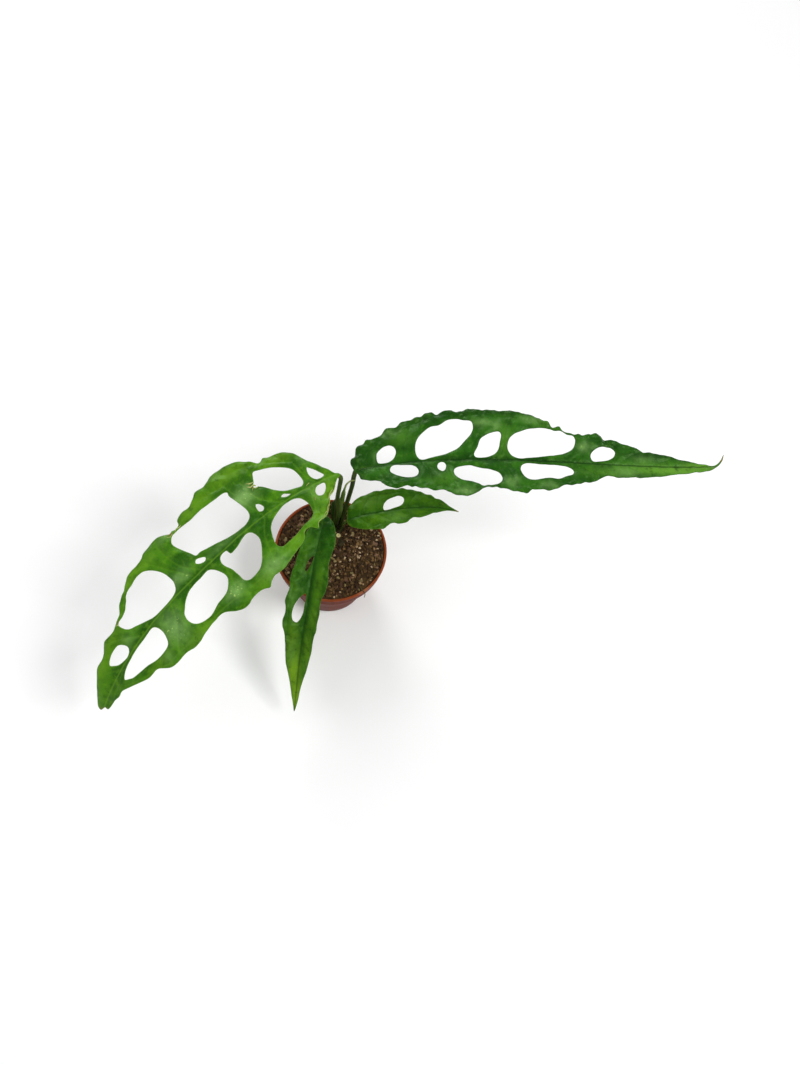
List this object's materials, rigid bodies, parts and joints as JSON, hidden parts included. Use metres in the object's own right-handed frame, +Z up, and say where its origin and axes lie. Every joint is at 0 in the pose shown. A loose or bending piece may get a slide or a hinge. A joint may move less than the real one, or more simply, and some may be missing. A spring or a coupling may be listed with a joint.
{
  "type": "potted monstera obliqua",
  "caption": "Small aroid house plant: arching leaf blades full of large oval holes on thin petioles, rooted in a tapered, filled plastic nursery pot.",
  "frame": {"origin": "centre of the pot's underside, on the surface that the pot stands on", "axes": "+Z up, +X along the longer spread of the leaves, -Y towards the side that the lowest leaf hangs over"},
  "size_m": [0.422, 0.2, 0.1646],
  "materials": {
    "pot": "matt terracotta-coloured moulded plastic, scuffed",
    "soil": "dark crumbly potting mix with bark chips and pale grit",
    "stem": "dull olive and brown, papery",
    "cut_stub": "dry pale cut face",
    "withered_sheath": "thin, half dried",
    "petiole": "dark olive, satin",
    "leaf_pale": "yellowish green, satin, quilted between the side veins",
    "leaf_dark": "deep green, satin, with a dark grooved midrib"
  },
  "bodies": {
    "root": {"pot": "pot", "soil": "soil", "stem": "stem", "cut_stub": "cut_stub", "withered_sheath": "withered_sheath", "petiole_left": "petiole", "petiole_right": "petiole", "petiole_small": "petiole", "petiole_front": "petiole", "leaf_left": "leaf_pale", "leaf_right": "leaf_dark", "leaf_small": "leaf_pale", "leaf_front": "leaf_dark"}
  },
  "joints": []
}
